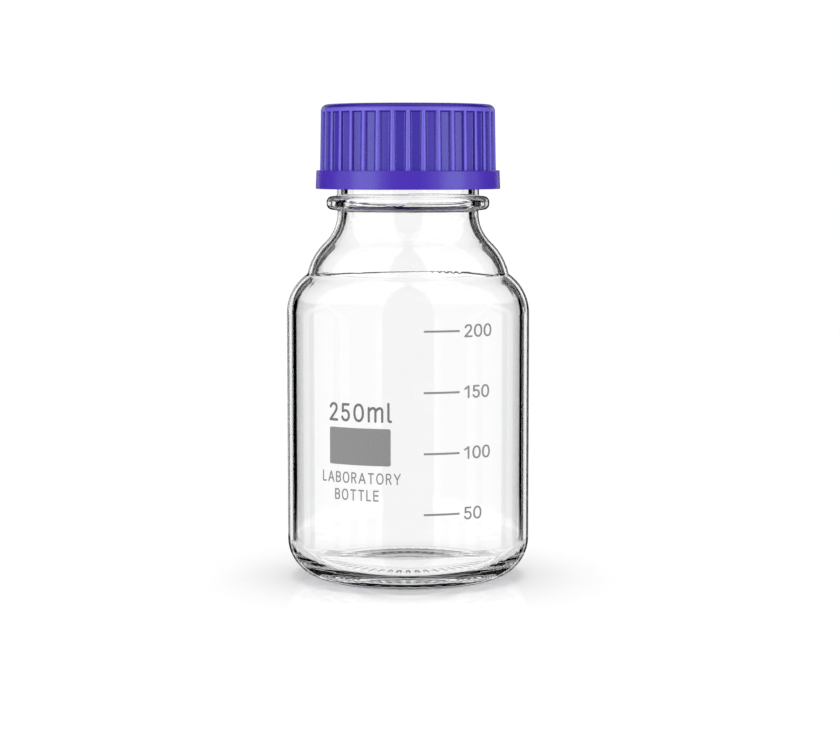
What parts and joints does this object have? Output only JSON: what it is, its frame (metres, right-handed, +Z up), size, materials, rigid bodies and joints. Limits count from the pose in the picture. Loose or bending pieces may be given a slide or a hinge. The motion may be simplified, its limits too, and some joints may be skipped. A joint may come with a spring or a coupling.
{
  "type": "reagent bottle",
  "caption": "Clear glass laboratory bottle with a stepped shoulder, neck bead, ribbed blue screw cap, pouring ring, sealing disc and a printed volume scale.",
  "frame": {"origin": "centre of the base on the surface the bottle stands on", "axes": "+Z up along the bottle's axis, the printed side faces -Y, the volume scale is towards +X"},
  "size_m": [0.07, 0.07, 0.1365],
  "materials": {
    "clear_glass": "polished, colourless borosilicate",
    "ring_plastic": "moulded polypropylene, satin",
    "cap_plastic": "moulded polypropylene, semi-gloss",
    "seal_rubber": "silicone, smooth",
    "mark_enamel": "fired grey enamel",
    "field_enamel": "fired grey enamel, matt so that a pencil marks it"
  },
  "bodies": {
    "bottle": {"glass_bottle": "clear_glass", "pouring_ring": "ring_plastic", "capacity_mark": "mark_enamel", "writing_field": "field_enamel", "caption": "mark_enamel", "graduation_50": "mark_enamel", "graduation_100": "mark_enamel", "graduation_150": "mark_enamel", "graduation_200": "mark_enamel"},
    "seal": {"cap_seal": "seal_rubber"},
    "cap": {"screw_cap": "cap_plastic"}
  },
  "joints": [
    {"name": "cap_lift", "type": "slide", "parent": "bottle", "child": "seal", "axis": [0, 0, 1], "range_m": [0, 0.022]},
    {"name": "cap_turn", "type": "hinge", "parent": "seal", "child": "cap", "pos_m": [0, 0, 0.125], "axis": [0, 0, 1], "range_deg": [0, 1980]}
  ],
  "couplings": [
    {"joint": "cap_lift", "follows": "cap_turn", "m_per_rad": 0.00063662}
  ]
}
